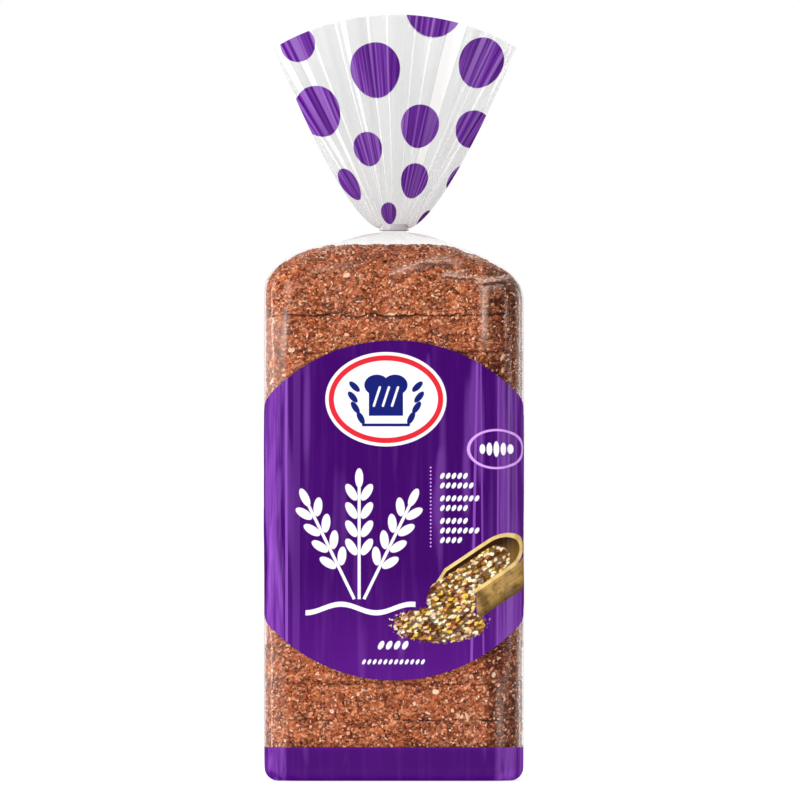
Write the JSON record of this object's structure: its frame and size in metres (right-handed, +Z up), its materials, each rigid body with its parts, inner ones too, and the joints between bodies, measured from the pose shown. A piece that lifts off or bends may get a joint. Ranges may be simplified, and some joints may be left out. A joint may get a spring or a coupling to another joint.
{
  "type": "loaf in bread bag",
  "caption": "Sliced wholegrain loaf standing in a clear printed bag, gathered at the neck by a twisted flat tie below an open ruffled mouth.",
  "frame": {"origin": "centre of the flat base that the pack stands on", "axes": "+Z up from the base to the mouth of the bag, -Y out of the printed front, +X to the right as seen from the front"},
  "size_m": [0.097, 0.088, 0.2865],
  "materials": {
    "clear_film": "thin glossy clear film",
    "purple_print": "glossy purple ink on film",
    "bread_crust": "matt baked crust with bran and oat flakes",
    "bread_crumb": "matt open wholegrain crumb",
    "tie_strip": "satin silver strip"
  },
  "bodies": {
    "root": {"bread_bag": "clear_film", "neck_tie": "tie_strip"}
  },
  "joints": []
}
